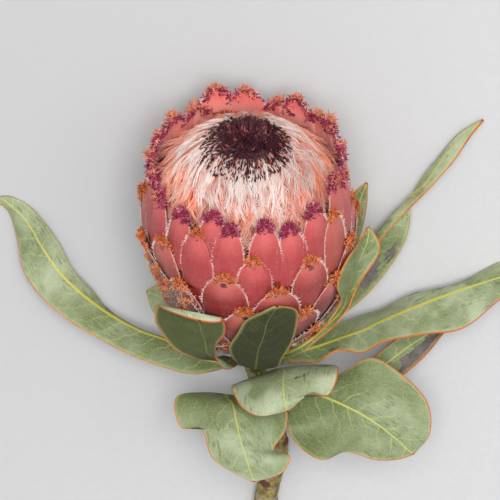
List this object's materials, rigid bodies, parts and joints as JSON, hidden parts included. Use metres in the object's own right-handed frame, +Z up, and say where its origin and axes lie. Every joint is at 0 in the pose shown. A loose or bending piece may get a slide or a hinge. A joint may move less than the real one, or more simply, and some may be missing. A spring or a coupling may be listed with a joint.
{
  "type": "protea flower",
  "caption": "Cut bearded protea bloom with overlapping pink bracts, a dome of silky white florets, a dark centre, grey-green leaves and a short stem, lying on its side.",
  "frame": {"origin": "middle of the small flat spot under the bloom, on the surface it lies on", "axes": "+Z up from the surface, +Y along the sprig from the stem's cut end towards the bloom's open end, +X to the right seen from above with +Y away"},
  "size_m": [0.3052, 0.2669, 0.1164],
  "materials": {
    "bract_pink": "matte",
    "floret_silk": "matte",
    "dark_tips": "matte",
    "leaf_green": "satin",
    "stem_bark": "matte"
  },
  "bodies": {
    "root": {"bracts": "bract_pink", "floret_dome": "floret_silk", "dark_centre": "dark_tips", "stem": "stem_bark", "leaf_long_left": "leaf_green", "leaf_left_front": "leaf_green", "leaf_centre_front": "leaf_green", "leaf_right_front": "leaf_green", "leaf_right_rising": "leaf_green", "leaf_long_right": "leaf_green", "leaf_behind_right": "leaf_green", "leaf_lower_right": "leaf_green", "leaf_centre_lower": "leaf_green", "leaf_lower_left": "leaf_green", "leaf_rear_left": "leaf_green", "leaf_rear_right": "leaf_green"}
  },
  "joints": []
}
